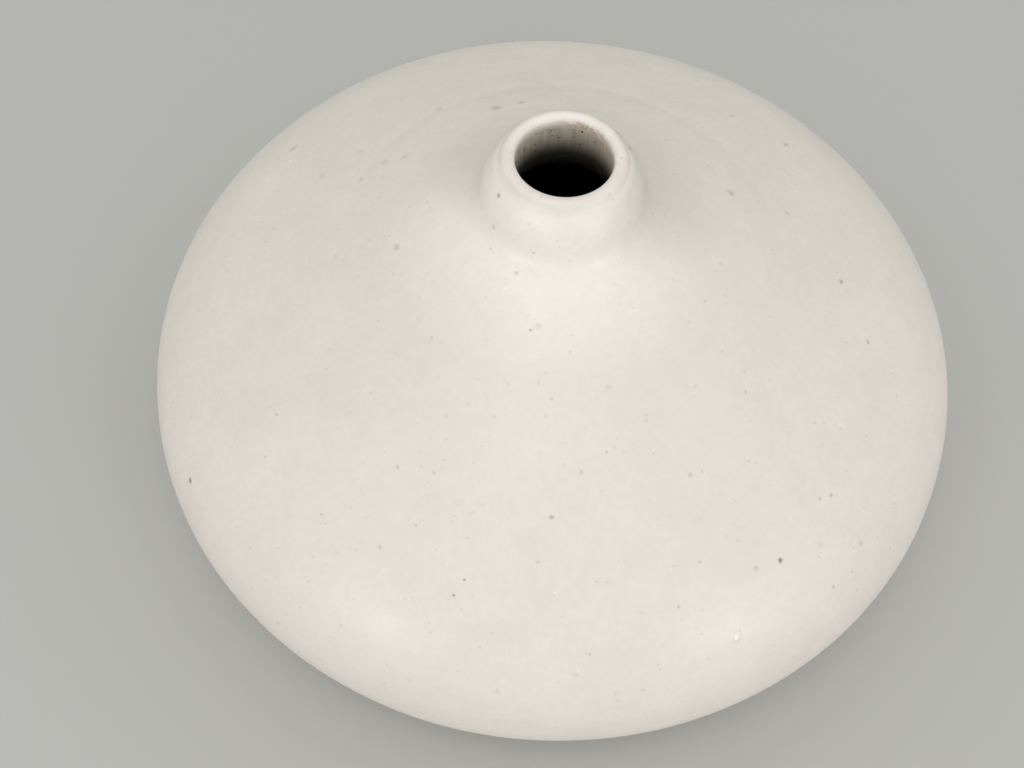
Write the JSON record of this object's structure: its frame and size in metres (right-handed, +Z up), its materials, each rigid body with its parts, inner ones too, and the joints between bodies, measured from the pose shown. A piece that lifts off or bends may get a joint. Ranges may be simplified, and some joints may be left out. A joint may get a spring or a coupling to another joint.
{
  "type": "pillow vase",
  "caption": "Low, wide, round stoneware vase with a conical shoulder, a short narrow neck, a beaded lip and a bare foot ring, in a white speckled glaze.",
  "frame": {"origin": "centre of the foot ring's resting face, on the turning axis", "axes": "+Z up along the turning axis, out of the mouth; +X and +Y are any two directions square to it, since the form is turned"},
  "size_m": [0.19, 0.19, 0.105],
  "materials": {
    "white_glaze": "satin matte, off-white, with fine iron specks",
    "lining_glaze": "satin, thin, greyish, with pinholes",
    "bare_stoneware": "bare fired clay, sandy, buff",
    "slip": "fired slip of the same clay, smooth"
  },
  "bodies": {
    "root": {"foot_ring": "bare_stoneware", "foot_slip": "slip", "lower_bowl": "bare_stoneware", "belly_slip": "slip", "shoulder_dome": "bare_stoneware", "neck_slip": "slip", "neck_collar": "bare_stoneware", "outer_glaze": "white_glaze", "lining_glaze": "lining_glaze", "recess_glaze": "white_glaze"}
  },
  "joints": []
}
